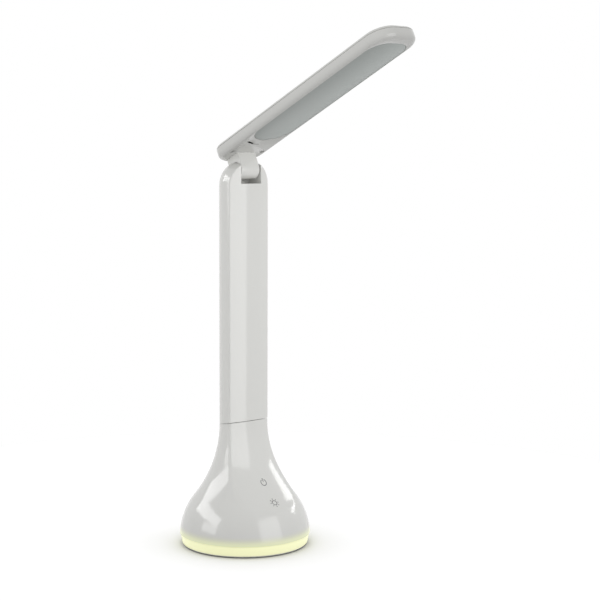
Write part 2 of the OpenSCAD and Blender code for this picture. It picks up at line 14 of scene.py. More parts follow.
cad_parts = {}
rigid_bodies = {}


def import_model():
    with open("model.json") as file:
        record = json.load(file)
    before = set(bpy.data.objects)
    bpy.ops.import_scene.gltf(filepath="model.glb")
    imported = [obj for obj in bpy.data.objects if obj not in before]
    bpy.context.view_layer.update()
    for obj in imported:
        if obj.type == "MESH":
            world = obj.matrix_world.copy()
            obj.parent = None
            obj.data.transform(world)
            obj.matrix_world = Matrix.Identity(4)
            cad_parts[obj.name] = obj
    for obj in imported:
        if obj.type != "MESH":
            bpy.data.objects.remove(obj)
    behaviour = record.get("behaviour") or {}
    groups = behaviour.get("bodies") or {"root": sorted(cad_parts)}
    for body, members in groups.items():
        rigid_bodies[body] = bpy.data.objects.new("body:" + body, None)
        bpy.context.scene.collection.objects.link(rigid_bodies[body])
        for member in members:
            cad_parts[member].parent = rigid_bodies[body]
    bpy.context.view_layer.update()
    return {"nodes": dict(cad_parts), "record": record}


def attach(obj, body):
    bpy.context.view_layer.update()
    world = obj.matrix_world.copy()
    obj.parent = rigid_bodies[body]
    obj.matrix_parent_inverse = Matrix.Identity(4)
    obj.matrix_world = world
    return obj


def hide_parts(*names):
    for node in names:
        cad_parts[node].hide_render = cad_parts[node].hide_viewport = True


MM = 0.001
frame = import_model()
scene = bpy.context.scene

# %% [markdown]
# ## The camera comes first
# A camera is a place, a direction and a focal length. They were found by laying the lamp's known
# sizes over its outlines, so the render has the same perspective: a long lens of 90 mm, about
# 1.2 m from the foot of the lamp, as high as the top of the post and looking slightly down.

# %% Camera
CAMERA_AT = Vector((-725.2, -878.0, 302.2)) * MM
CAMERA_TURN = (84.295, -0.2, -41.645)
camera_data = bpy.data.cameras.new("camera")
camera_data.lens = 90
camera_data.sensor_width = 36
camera_data.clip_start = 0.05
camera_data.clip_end = 50
camera = bpy.data.objects.new("camera", camera_data)
camera.location = CAMERA_AT
camera.rotation_euler = [math.radians(angle) for angle in CAMERA_TURN]
scene.collection.objects.link(camera)
scene.camera = camera
print("camera distance in m:", round(CAMERA_AT.length, 3))

# %% [markdown]
# ## Working as by hand
# An operator acts on what is selected, so each step starts with nothing selected. In edit mode
# edges are picked by a rule about where their two ends are, much as they would be clicked, and
# then one operator works on them.

# %% Selecting
def release():
    """Back to object mode with nothing selected."""
    if bpy.context.object and bpy.context.object.mode != "OBJECT":
        bpy.ops.object.mode_set(mode="OBJECT")
    bpy.ops.object.select_all(action="DESELECT")


def take(piece):
    """Selects one piece and makes it active."""
    release()
    piece.select_set(True)
    bpy.context.view_layer.objects.active = piece


def pick_all(piece):
    """Enters edit mode with every face selected."""
    take(piece)
    bpy.ops.object.mode_set(mode="EDIT")
    bpy.ops.mesh.select_mode(type="FACE")
    bpy.ops.mesh.select_all(action="SELECT")


def pick_edges(piece, rule):
    """Enters edit mode with only those edges selected whose two ends follow the rule."""
    take(piece)
    bpy.ops.object.mode_set(mode="EDIT")
    bpy.ops.mesh.select_mode(type="EDGE")
    bpy.ops.mesh.select_all(action="DESELECT")
    bpy.ops.object.mode_set(mode="OBJECT")
    corners = piece.data.vertices
    for edge in piece.data.edges:
        edge.select = rule(*(corners[i].co for i in edge.vertices))
    bpy.ops.object.mode_set(mode="EDIT")


# %% [markdown]
# ## The form of base and post
# Base and post are turned shapes: one profile spun round the vertical axis. Then the front is
# pressed in. Seen from above the pressed face is a shallow arc, and near the bottom it sweeps
# forward and runs out over the bell. It could be cut with a solid, but that leaves a knife edge.
# Written as two radii, spun and pressed, it can be blended: a soft minimum rounds the crease.

# %% Sizes of base and post, in mm
BELL_R, BELL_Z = 50.3, 6.2  # the bell's greatest radius, and how high it is
RING_TOP = 8.8  # the bell sits on the ring here
POST_R, POST_TOP = 19.6, 295.0
DOME_Z = POST_TOP - POST_R  # the post's dome starts here
NECK_Z = 94.0  # the sweep of the bell ends in the straight post here
FRONT_R, FRONT_Y = 48.0, 39.6  # arc of the pressed face, and how far back its centre is
FLARE_R, FLARE_Z = 71.5, 92.8  # the pressed face's sweep over the bell, and where it starts
WALL = 2.2
neck_rise = NECK_Z - BELL_Z
neck_arc = (POST_R ** 2 + neck_rise ** 2 - BELL_R ** 2) / (2 * (BELL_R - POST_R))
meet_z = BELL_Z + neck_rise * BELL_R / (BELL_R + neck_arc)
print("neck arc in mm:", round(neck_arc, 1), "meeting the round foot at", round(meet_z, 1))

# %% The two radii
def round_radius(z):
    """Radius of the spun form at height z."""
    if z <= meet_z:
        return math.sqrt(BELL_R ** 2 - (z - BELL_Z) ** 2)
    if z < NECK_Z:
        return POST_R + neck_arc - math.sqrt(neck_arc ** 2 - (NECK_Z - z) ** 2)
    return POST_R


def front_radius(z, inset):
    """Radius of the pressed face at height z, about the upright line FRONT_Y behind the axis."""
    if z >= FLARE_Z:
        return FRONT_R - inset
    if z <= FLARE_Z - FLARE_R - inset:
        return FRONT_R + FLARE_R
    return FRONT_R + FLARE_R - math.sqrt((FLARE_R + inset) ** 2 - (FLARE_Z - z) ** 2)


print("at height 50 the bell reaches", round(round_radius(50), 1), "mm, and its pressed front",
      round(front_radius(50, 0) - FRONT_Y, 1))

# %% Pressing the front in
def press_front(piece, crease, inset):
    """Moves in what stands in front of the pressed face; crease is the softness in mm."""
    for corner in piece.data.vertices:
        x, y, z = corner.co / MM
        reach = math.hypot(x, y)
        if reach < 1e-6:
            continue
        side = FRONT_Y * y / reach
        face = side + math.sqrt(side ** 2 + front_radius(z, inset) ** 2 - FRONT_Y ** 2)
        overlap = max(crease - abs(reach - face), 0) / crease
        new_reach = min(reach, face) - overlap ** 2 * crease / 4
        corner.co.x *= new_reach / reach
        corner.co.y *= new_reach / reach
    piece.data.update()


# %% Spinning a profile
def tidy_mesh(piece):
    """Merges doubles and points all faces outwards."""
    take(piece)
    bpy.ops.object.mode_set(mode="EDIT")
    bpy.ops.mesh.select_all(action="SELECT")
    bpy.ops.mesh.remove_doubles(threshold=0.002 * MM)
    bpy.ops.mesh.normals_make_consistent(inside=False)
    bpy.ops.object.mode_set(mode="OBJECT")
    return piece


def spin_profile(name, points, steps):
    """Spins a list of (radius, height) points in mm round the vertical axis."""
    release()
    mesh = bpy.data.meshes.new(name)
    edges = [(i, i + 1) for i in range(len(points) - 1)]
    mesh.from_pydata([(r * MM, 0, z * MM) for r, z in points], edges, [])
    piece = bpy.data.objects.new(name, mesh)
    scene.collection.objects.link(piece)
    take(piece)
    bpy.ops.object.mode_set(mode="EDIT")
    bpy.ops.mesh.select_all(action="SELECT")
    bpy.ops.mesh.spin(steps=steps, angle=math.tau, center=(0, 0, 0), axis=(0, 0, 1))
    bpy.ops.object.mode_set(mode="OBJECT")
    return tidy_mesh(piece)


def heights(low, high, step):
    """Even heights from low to high, about a step apart."""
    count = max(1, round((high - low) / step))
    return [low + (high - low) * i / count for i in range(count + 1)]


# %% [markdown]
# ## The bell
# The real bell is one moulding with an even wall. A solid blank is spun and pressed, a smaller
# blank is spun and pressed with the same rules set in by the wall, and the second is carved out
# of the first. That gives an even wall without Solidify's pinched corners at the crease.

# %% Carving and cutting
def carve(piece, tool, how="DIFFERENCE"):
    """Cuts a tool solid out of the piece, or adds it; the tool is used up."""
    take(piece)
    cut = piece.modifiers.new("carve", "BOOLEAN")
    cut.operation = how
    cut.solver = "EXACT"
    cut.object = tool
    bpy.ops.object.modifier_apply(modifier=cut.name)
    bpy.data.objects.remove(tool)


def cut_flat(piece, at, normal, keep_far):
    """Cuts the piece at a plane, closes it, and keeps the side the normal points to or not."""
    pick_all(piece)
    bpy.ops.mesh.bisect(plane_co=at, plane_no=normal, use_fill=True,
                        clear_inner=keep_far, clear_outer=not keep_far)
    bpy.ops.object.mode_set(mode="OBJECT")


# %% Bell blank, outside and inside
BLANK_TOP, HOLLOW_TOP = 103, 82


def bell_blank(name, inset, low, step, columns, crease):
    """Solid of the bell set in by a wall, from a low level to just above the seam."""
    side = [(max(round_radius(z) - inset, 1), z) for z in heights(low, BLANK_TOP, step)]
    blank = spin_profile(name, [(0, low)] + side + [(0, BLANK_TOP)], columns)
    press_front(blank, crease, inset)
    return blank


bell = bell_blank("bell", inset=0, low=RING_TOP, step=0.9, columns=300, crease=1.4)
hollow = bell_blank("bell_hollow", inset=WALL, low=RING_TOP - 1, step=3, columns=96, crease=1.0)
cut_flat(hollow, Vector((0, 0, HOLLOW_TOP)) * MM, (0, 0, 1), keep_far=False)
carve(bell, hollow)
print("bell faces before the seam is cut:", len(bell.data.polygons))

# %% [markdown]
# ## The slanted seam
# Base and post meet in a seam that rises to the front, so neither can turn on the other. The bell
# is cut at that plane. The post will be cut a third of a millimetre higher, because a real joint
# shows as a thin dark line, and two faces that touch would show nothing.

# %% Cutting at the seam
SEAM_Z, SEAM_TILT, SEAM_GAP = 94.9, 9.0, 0.35


def cut_at_seam(piece, lift, keep_far):
    """Cuts at the seam's plane, lifted by some mm."""
    tilt = math.radians(SEAM_TILT)
    at = Vector((0, 0, SEAM_Z + lift)) * MM
    cut_flat(piece, at, (0, math.sin(tilt), math.cos(tilt)), keep_far)


cut_at_seam(bell, 0, keep_far=False)
print("bell faces:", len(bell.data.polygons))

# %% [markdown]
# ## The charging port
# The lamp is charged through a small port low in its back. The wall is curved there, so an inset
# face would bulge with it. A bar with rounded long edges, carved through the wall, gives the
# clean opening that a slider in the mould makes.

# %% Charging port
def block(name, low, high):
    """A cube primitive brought to two corners given in mm."""
    release()
    bpy.ops.mesh.primitive_cube_add(size=1, location=(0, 0, 0))
    piece = bpy.context.object
    piece.name = name
    low, high = Vector(low) * MM, Vector(high) * MM
    for corner in piece.data.vertices:
        corner.co = [low[i] if corner.co[i] < 0 else high[i] for i in range(3)]
    piece.data.update()
    return piece


PORT_HALF, PORT_LOW, PORT_HIGH, PORT_CORNER = 4.1, 12.3, 15.6, 0.9
port = block("port_tool", (-PORT_HALF, 40, PORT_LOW), (PORT_HALF, 60, PORT_HIGH))
pick_edges(port, lambda a, b: abs(a.y - b.y) > 10 * MM)
bpy.ops.mesh.bevel(offset=PORT_CORNER * MM, segments=5, affect="EDGES")
bpy.ops.object.mode_set(mode="OBJECT")
carve(bell, port)
print("port in mm:", 2 * PORT_HALF, "x", round(PORT_HIGH - PORT_LOW, 1))

# %% [markdown]
# ## Soft edges
# No moulded edge is sharp: each has a small radius that catches a thin line of light. A Bevel
# modifier limited by angle finds these edges by itself, and smooth shading by angle keeps the
# rest of the surface round without smearing over them.

# %% Soft edges of the bell
def soften(piece, width, segments=2, angle=50):
    """Rounds the edges that are sharper than the angle."""
    take(piece)
    round_off = piece.modifiers.new("soft_edges", "BEVEL")
    round_off.width = width
    round_off.segments = segments
    round_off.limit_method = "ANGLE"
    round_off.angle_limit = math.radians(angle)
    round_off.use_clamp_overlap = True
    round_off.miter_outer = "MITER_SHARP"
    bpy.ops.object.modifier_apply(modifier=round_off.name)


def shade(piece, angle=32):
    """Smooth shading, but not over edges sharper than the angle."""
    take(piece)
    bpy.ops.object.shade_smooth_by_angle(angle=math.radians(angle))


soften(bell, 0.22 * MM)
shade(bell)
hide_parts("base_bell")
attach(bell, "stand")
print("bell faces after the port and soft edges:", len(bell.data.polygons))

# %% [markdown]
# ## The glowing ring
# A milky ring carries the bell: a slanting outer face, slightly smaller at the foot, with a lip
# inside on which the bell sits. A bevelled cylinder would need cuts for the slant and the lip;
# spinning its whole section makes all of it in one closed mesh.

# %% Light ring
RING_FOOT, RING_INNER = 1.6, 45.3
LIP_R, LIP_TOP = 46.7, 10.2
outer_face = [(48.0, RING_FOOT), (48.28, 1.75), (48.35, 2.0), (49.05, 5.6), (49.6, 8.35),
              (49.6, 8.6), (49.45, 8.78)]
lip = [(LIP_R, RING_TOP), (LIP_R, LIP_TOP), (RING_INNER, LIP_TOP)]
foot = [(RING_INNER, RING_FOOT)]
ring = spin_profile("glow_ring", foot + outer_face + lip + foot, 256)
shade(ring, 40)
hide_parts("light_ring")
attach(ring, "stand")
print("ring faces:", len(ring.data.polygons))

# %% [markdown]
# ## The post
# The post is two shells, a round rear one and a shallow front one, that meet in two upright
# parting lines. They could be modelled one by one, but then their surfaces would have to be
# matched. Both come from one blank: spun, domed, pressed, hollowed, slotted for the hinge and
# then cut at the parting plane, so that their surfaces run on without a step. A spin numbers its
# corners anew in each run, so the blank is numbered by place before the slanted cut.

# %% Numbering by place
def number_by_place(piece):
    """Numbers corners and faces by where they are, so that each run cuts the facets alike."""
    mesh = piece.data
    places = [tuple(corner.co) for corner in mesh.vertices]
    order = sorted(range(len(places)), key=places.__getitem__)
    number = {old: new for new, old in enumerate(order)}
    faces = sorted([number[i] for i in face.vertices] for face in mesh.polygons)
    mesh.clear_geometry()
    mesh.from_pydata([places[i] for i in order], [], faces)
    return piece


# %% Post blank
BLOCK_Z = 268.0  # the hollow ends here, under the solid block that holds the hinge


def post_blank(name, inset, low, columns, crease, flat_top=None):
    """Solid of the post from a low level up, with its dome or with a flat top."""
    reach = POST_R - inset
    side = [(reach, z) for z in heights(low, 98, 1.3) + [160, 215, 262]]
    if flat_top:
        top = [(reach, flat_top), (0, flat_top)]
    else:
        turn = [math.radians(a) for a in heights(0, 88.5, 2.2)]
        top = [(reach * math.cos(a), DOME_Z + reach * math.sin(a)) for a in turn]
        top.append((0, DOME_Z + reach))
    blank = number_by_place(spin_profile(name, [(0, low)] + side + top, columns))
    press_front(blank, crease, inset)
    return blank


post = post_blank("post", inset=0, low=86, columns=320, crease=0.7)
inner = post_blank("post_hollow", inset=WALL, low=84, columns=96, crease=0.6, flat_top=BLOCK_Z)
carve(post, inner)
cut_at_seam(post, SEAM_GAP, keep_far=True)
print("post faces:", len(post.data.polygons))

# %% [markdown]
# ## The hinge slot
# A slot from the front splits the dome into two ears, and the head's tongue turns between them.
# Its upper part leans back, which leaves the tongue room when the head opens wide. Two blocks are
# joined into one tool first, so that the dome is carved only once and gets no needless edges.

# %% Hinge slot
PIN_Z = 287.3
SLOT_HALF, SLOT_Z, SLOT_BACK, SLOT_LEAN = 9.7, 277.0, 7.3, -46
at_pin = Matrix.Translation((0, 0, PIN_Z * MM))
slot_tool = block("slot_tool", (-SLOT_HALF, -60, SLOT_Z), (SLOT_HALF, SLOT_BACK, 340))
lean_tool = block("lean_tool", (-SLOT_HALF, -40, 0), (SLOT_HALF, SLOT_BACK, 60))
lean_tool.data.transform(at_pin @ Matrix.Rotation(math.radians(SLOT_LEAN), 4, "X"))
carve(slot_tool, lean_tool, "UNION")
carve(post, slot_tool)
print("slot in mm:", 2 * SLOT_HALF, "wide, floor at", SLOT_Z)

# %% Two shells
PART_Y = -3.0


def copy_of(piece, name):
    """A copy with its own mesh."""
    twin = piece.copy()
    twin.data = piece.data.copy()
    twin.name = name
    scene.collection.objects.link(twin)
    return twin


post_front = copy_of(post, "post_front")
cut_flat(post_front, (0, PART_Y * MM, 0), (0, 1, 0), keep_far=False)
cut_flat(post, (0, PART_Y * MM, 0), (0, 1, 0), keep_far=True)
for shell, node in ((post, "post_shell"), (post_front, "post_cover")):
    soften(shell, 0.16 * MM)
    shade(shell)
    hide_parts(node)
    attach(shell, "stand")
    print(shell.name, "faces:", len(shell.data.polygons))

# %% [markdown]
# ## The light head
# The head is a long slab with round corners: a tray below, which holds the frosted panel, and a
# thin cover on top. A cube is brought to size, its four upright edges are bevelled to the plan
# corners, and then the rims are bevelled, softly below and tightly on top. It is modelled level
# with the hinge pin at the origin, where every size is a plain number, and turned to its rest
# angle at the end.

# %% Sizes of the head, in mm, level with the pin at the origin
HEAD_BACK, HEAD_FRONT, HEAD_HALF, HEAD_CORNER = 11.25, 189.5, 20.2, 15.0
UNDER, THICK, PART_H = 11.0, 9.6, 18.3  # underside, thickness, and where the cover starts
EDGE_LOW, EDGE_TOP, EDGE_INSIDE = 3.6, 2.4, 0.5
HEAD_WALL, TRAY_FLOOR, COVER_GAP = 1.7, 1.6, 0.22
HEAD_TILT = -25.0
to_rest = at_pin @ Matrix.Rotation(math.radians(HEAD_TILT), 4, "X")
print("head in mm:", HEAD_BACK + HEAD_FRONT, "x", 2 * HEAD_HALF, "x", THICK)

# %% Slab of the head
def slab(name, set_in, low, high, edge_low, edge_top, segments):
    """The head's slab set in by a wall, between two levels."""
    piece = block(name, (-HEAD_HALF + set_in, -HEAD_FRONT + set_in, low),
                  (HEAD_HALF - set_in, HEAD_BACK - set_in, high))
    pick_edges(piece, lambda a, b: abs(a.z - b.z) > 1 * MM)
    bpy.ops.mesh.bevel(offset=(HEAD_CORNER - set_in) * MM, segments=segments, affect="EDGES")
    pick_edges(piece, lambda a, b: max(a.z, b.z) < (low + 0.01) * MM)
    bpy.ops.mesh.bevel(offset=edge_low * MM, segments=9, affect="EDGES")
    pick_edges(piece, lambda a, b: min(a.z, b.z) > (high - 0.01) * MM)
    bpy.ops.mesh.bevel(offset=edge_top * MM, segments=6, affect="EDGES")
    bpy.ops.object.mode_set(mode="OBJECT")
    return tidy_mesh(piece)


head_slab = slab("head_tray_piece", 0, UNDER, UNDER + THICK, EDGE_LOW, EDGE_TOP, 20)
head_cover = copy_of(head_slab, "head_cover_piece")
cut_flat(head_slab, (0, 0, PART_H * MM), (0, 0, 1), keep_far=False)
cut_flat(head_cover, (0, 0, (PART_H + COVER_GAP) * MM), (0, 0, 1), keep_far=True)
print("slab faces:", len(head_slab.data.polygons), "and", len(head_cover.data.polygons))

# %% Hollowing tray and cover
def head_hollow(name, low, high):
    """What the shells leave free inside, between two levels."""
    return slab(name, HEAD_WALL, low, high, EDGE_INSIDE, EDGE_INSIDE, 10)


carve(head_slab, head_hollow("tray_hollow", UNDER + TRAY_FLOOR, PART_H + 5))
carve(head_cover, head_hollow("cover_hollow", PART_H - 3, UNDER + THICK - HEAD_WALL))
print("shell faces:", len(head_slab.data.polygons), "and", len(head_cover.data.polygons))

# %% [markdown]
# ## Openings in the tray
# The tray's floor has a window for the panel, a hole where the tongue goes in, and two screw
# holes beside it. Each is an outline drawn flat, extruded to a prism and carved out. Faces could
# be inset and deleted instead, but a prism cuts a clean wall whatever the faces there are.

# %% Outlines and prisms
def outline_prism(name, points, low, high):
    """A flat face from a closed outline in mm, extruded upwards."""
    release()
    mesh = bpy.data.meshes.new(name)
    mesh.from_pydata([(x * MM, y * MM, low * MM) for x, y in points], [], [range(len(points))])
    piece = bpy.data.objects.new(name, mesh)
    scene.collection.objects.link(piece)
    pick_all(piece)
    bpy.ops.mesh.extrude_region_move(TRANSFORM_OT_translate={"value": (0, 0, (high - low) * MM)})
    bpy.ops.object.mode_set(mode="OBJECT")
    return tidy_mesh(piece)


def arc(cx, cy, radius, start, end, count):
    """Points on an arc, angles in degrees."""
    turn = [math.radians(start + (end - start) * i / count) for i in range(count + 1)]
    return [(cx + radius * math.cos(a), cy + radius * math.sin(a)) for a in turn]


def circle(cx, cy, radius):
    """48 points round a circle."""
    return arc(cx, cy, radius, 0, 352.5, 47)


# %% Window, tongue hole and screw holes
PANEL_HALF, PANEL_NEAR, PANEL_FAR, PANEL_CORNER = 17.0, 29.0, 180.5, 13.0
WINDOW_GAP = 0.25
TONGUE_HOLE_X, TONGUE_HOLE_Y = 8.8, 6.6
SCREW_X, SCREW_Y, SCREW_HOLE_R, SCREW_HOLE_DEPTH = 14.2, -8.5, 2.1, 1.55
curve_y = -(PANEL_NEAR + PANEL_HALF)


def panel_outline(grow):
    """The panel: a half round at the near end and round corners at the tip."""
    far_y = -(PANEL_FAR - PANEL_CORNER)
    near = arc(0, curve_y, PANEL_HALF + grow, 0, 180, 48)
    left = arc(-(PANEL_HALF - PANEL_CORNER), far_y, PANEL_CORNER + grow, 180, 270, 24)
    right = arc(PANEL_HALF - PANEL_CORNER, far_y, PANEL_CORNER + grow, 270, 360, 24)
    return near + left + right


carve(head_slab, outline_prism("window_tool", panel_outline(WINDOW_GAP), UNDER - 1, UNDER + 3))
carve(head_slab, block("tongue_tool", (-TONGUE_HOLE_X, -TONGUE_HOLE_Y, UNDER - 1),
                       (TONGUE_HOLE_X, TONGUE_HOLE_Y, UNDER + 3)))
for x in (-SCREW_X, SCREW_X):
    hole = circle(x, SCREW_Y, SCREW_HOLE_R)
    carve(head_slab, outline_prism("screw_tool", hole, UNDER - 1, UNDER + SCREW_HOLE_DEPTH))
print("tray faces with its openings:", len(head_slab.data.polygons))

# %% [markdown]
# ## The curved slot
# Between the tongue and the panel is a thin curved slot that runs round the panel's end, wider
# at its left. It is one more prism, from three arcs about the same centre. It looks black, since
# nothing lights its walls, so the faces inside it get the second material: black, painted shade.

# %% Curved slot
CURVE_OUTER, CURVE_FINE, CURVE_WIDE = 7.4, 6.9, 5.6  # distance from the edge of the panel
curve = arc(0, curve_y, PANEL_HALF + CURVE_OUTER, 88, 122, 18)
curve += arc(0, curve_y, PANEL_HALF + CURVE_WIDE, 122, 106, 6)
curve += arc(0, curve_y, PANEL_HALF + CURVE_FINE, 104, 88, 10)
carve(head_slab, outline_prism("curve_tool", curve, UNDER - 1, UNDER + 3))
inside = 0
# painted shade: the walls of the curved slot get the black second material
for face in head_slab.data.polygons:
    x, y, z = face.center / MM
    from_panel = math.hypot(x, y - curve_y) - PANEL_HALF
    beside = CURVE_WIDE - 0.1 < from_panel < CURVE_OUTER + 0.1 and y > -30
    if beside and UNDER + 0.02 < z < UNDER + TRAY_FLOOR - 0.02:
        face.material_index = 1
        inside += 1
print("faces inside the curved slot:", inside)

# %% Tray and cover finished
for shell, node in ((head_slab, "head_tray"), (head_cover, "head_cover")):
    soften(shell, 0.18 * MM)
    shell.data.transform(to_rest)
    shade(shell)
    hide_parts(node)
    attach(shell, "head")
    print(shell.name, "faces:", len(shell.data.polygons))

# %% [markdown]
# ## The frosted panel
# A thin sheet of frosted plastic lies in the window, set back a little from the bezel. It uses
# the window's own outline without the gap, so the two always fit.

# %% Panel in the window
PANEL_UNDER, PANEL_BACK = 0.25, 1.85
panel = outline_prism("frosted_panel", panel_outline(0), UNDER + PANEL_UNDER, UNDER + PANEL_BACK)
soften(panel, 0.25 * MM, angle=60)
panel.data.transform(to_rest)
shade(panel)
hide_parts("diffuser")
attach(panel, "head")
print("panel faces:", len(panel.data.polygons))

# %% [markdown]
# ## The hinge tongue
# A block with a round end hangs from the tray into the slot of the post, and the pin goes through
# it. Seen from the side it is one simple outline, so it is drawn flat, extruded, and laid across
# the slot; a bevelled cube would not give the true half round.

# %% Hinge tongue
TONGUE_HALF, TONGUE_R, BORE_R = 8.7, 7.0, 3.25
across_slot = Matrix(((0, 0, 1, 0), (1, 0, 0, 0), (0, 1, 0, 0), (0, 0, 0, 1)))
root = UNDER + TRAY_FLOOR
side_view = arc(0, 0, TONGUE_R, 180, 360, 40) + [(TONGUE_R, root), (-TONGUE_R, root)]
tongue = outline_prism("hinge_tongue", side_view, -TONGUE_HALF, TONGUE_HALF)
tongue.data.transform(across_slot)
bore = outline_prism("bore_tool", circle(0, 0, BORE_R), -TONGUE_HALF - 1, TONGUE_HALF + 1)
bore.data.transform(across_slot)
carve(tongue, bore)
soften(tongue, 0.5 * MM, segments=3)
tongue.data.transform(to_rest)
shade(tongue)
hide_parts("hinge_knuckle")
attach(tongue, "head")
print("tongue faces:", len(tongue.data.polygons))

# %% [markdown]
# ## The two key marks
# Under the front face lie two touch keys, and a small mark is printed over each: a ring with a
# stroke for on and off, and a sun for the brightness. Print follows the surface it is on, so flat
# outlines with many points are laid in front of the face and pushed onto it with a Shrinkwrap
# modifier; Solidify gives them the thickness of paint. A picture on the surface would be blurred.

# %% Where the marks are
KEY_Z, KEY_SPREAD = 43.5, 9  # middle between the marks, and how far each is from it
key_drop = FLARE_Z - KEY_Z
key_y = -(FLARE_R + FRONT_R - FRONT_Y - math.sqrt(FLARE_R ** 2 - key_drop ** 2))
key_slope = math.acos(key_drop / FLARE_R)
at_keys = Matrix.Translation(Vector((0, key_y, KEY_Z)) * MM) @ Matrix.Rotation(key_slope, 4, "X")
print("the face there leans back by", round(90 - math.degrees(key_slope), 1), "degrees")

# %% Pen strokes
PEN = 0.55


def stroke(start, end, parts):
    """Outline of a straight pen stroke in mm."""
    along = end - start
    side = Vector((-along.y, along.x)).normalized() * PEN / 2
    there = [start + along * i / parts for i in range(parts + 1)]
    return [tuple(p + side) for p in there] + [tuple(p - side) for p in reversed(there)]


def loop_stroke(radius, start, end):
    """Outline of a pen stroke along an arc."""
    outer = arc(0, 0, radius + PEN / 2, start, end, 40)
    return outer + arc(0, 0, radius - PEN / 2, end, start, 40)


RING_R, SUN_R, RAY_FROM, RAY_TO = 2.5, 2.0, 2.9, 3.9
power_mark = [loop_stroke(RING_R, 118, 422), stroke(Vector((0, 0.6)), Vector((0, 3.5)), 5)]
sun_mark = [loop_stroke(SUN_R, 0, 180), loop_stroke(SUN_R, 180, 360)]
for k in range(8):
    ray = Vector((math.cos(math.radians(45 * k)), math.sin(math.radians(45 * k))))
    sun_mark.append(stroke(ray * RAY_FROM, ray * RAY_TO, 2))
print("strokes:", len(power_mark), "and", len(sun_mark))

# %% Printing the marks
def flat_shapes(name, outlines):
    """A mesh of flat faces from closed outlines in mm."""
    release()
    mesh = bpy.data.meshes.new(name)
    points, faces = [], []
    for outline in outlines:
        faces.append(range(len(points), len(points) + len(outline)))
        points += [(x * MM, y * MM, 0) for x, y in outline]
    mesh.from_pydata(points, [], faces)
    piece = bpy.data.objects.new(name, mesh)
    scene.collection.objects.link(piece)
    return piece


marks = []
for name, outlines, up in (("power_mark", power_mark, KEY_SPREAD),
                           ("brightness_mark", sun_mark, -KEY_SPREAD)):
    mark = flat_shapes(name, outlines)
    mark.data.transform(at_keys @ Matrix.Translation((0, up * MM, 3 * MM)))
    take(mark)
    wrap = mark.modifiers.new("wrap", "SHRINKWRAP")
    wrap.wrap_method = "NEAREST_SURFACEPOINT"
    wrap.wrap_mode = "ABOVE_SURFACE"
    wrap.target = bell
    wrap.offset = 0.02 * MM
    bpy.ops.object.modifier_apply(modifier=wrap.name)
    paint = mark.modifiers.new("paint", "SOLIDIFY")
    paint.thickness = 0.03 * MM
    paint.offset = 0
    bpy.ops.object.modifier_apply(modifier=paint.name)
    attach(mark, "stand")
    marks.append(mark)
    print(mark.name, "faces:", len(mark.data.polygons))

# %% [markdown]
# ## Finishes made of nodes
# Nearly everything that shows is one polished white plastic. A moulded surface is never quite
# even, so a fine noise moves colour and roughness a little. Painted pictures would need seams
# and unwrapping; noise in object coordinates needs neither, and it also fits the inner parts.

# %% A moulded finish
def add_node(tree, kind, output, inputs=None, **settings):
    """Adds a node, sets it up, feeds its inputs with outputs or values, returns one output."""
    node = tree.nodes.new(kind)
    for setting, choice in settings.items():
        setattr(node, setting, choice)
    for socket, source in (inputs or {}).items():
        if isinstance(source, bpy.types.NodeSocket):
            tree.links.new(source, node.inputs[socket])
        else:
            node.inputs[socket].default_value = source
    return node.outputs[output]


def moulded(name, colour, roughness, metallic=0.0, speck=0.02, scale=300.0, bump=0.0):
    """A finish whose colour and roughness drift a little, with an uneven skin where asked."""
    made = bpy.data.materials.new(name)
    made.use_nodes = True
    tree = made.node_tree
    shader = tree.nodes["Principled BSDF"].inputs
    shader["Metallic"].default_value = metallic
    place = add_node(tree, "ShaderNodeTexCoord", "Object")
    noise = add_node(tree, "ShaderNodeTexNoise", "Fac",
                     {"Vector": place, "Scale": scale, "Detail": 3})
    darker = [c * (1 - speck) for c in colour] + [1]
    lighter = [min(1, c * (1 + speck)) for c in colour] + [1]
    tint = add_node(tree, "ShaderNodeMix", "Result",
                    {"Factor": noise, "A": darker, "B": lighter}, data_type="RGBA")
    tree.links.new(tint, shader["Base Color"])
    dull = add_node(tree, "ShaderNodeMapRange", "Result",
                    {"Value": noise, "To Min": roughness * 0.85, "To Max": roughness * 1.15})
    tree.links.new(dull, shader["Roughness"])
    if bump:
        skin = add_node(tree, "ShaderNodeBump", "Normal",
                        {"Height": noise, "Strength": bump, "Distance": 0.05 * MM})
        tree.links.new(skin, shader["Normal"])
    return made


POLISHED = {"colour": (0.77, 0.77, 0.745), "roughness": 0.12, "speck": 0.006, "scale": 120}
white = moulded("gloss_white", **POLISHED)
print("finish:", white.name, POLISHED)

# %% [markdown]
# ## The ring's own light
# The ring is lit from inside, evenly all round. Lamps behind a milky wall would be the honest
# way, but they make a noisy picture for the same even glow, so its surface gives off the light.

# %% Glowing plastic
glow = moulded("glow_ring", (0.8, 0.8, 0.5), 0.3, scale=60)
glow_shader = glow.node_tree.nodes["Principled BSDF"].inputs
glow_shader["Emission Color"].default_value = (0.88, 0.9, 0.56, 1)
glow_shader["Emission Strength"].default_value = 0.46
print("glow strength:", round(glow_shader["Emission Strength"].default_value, 2))
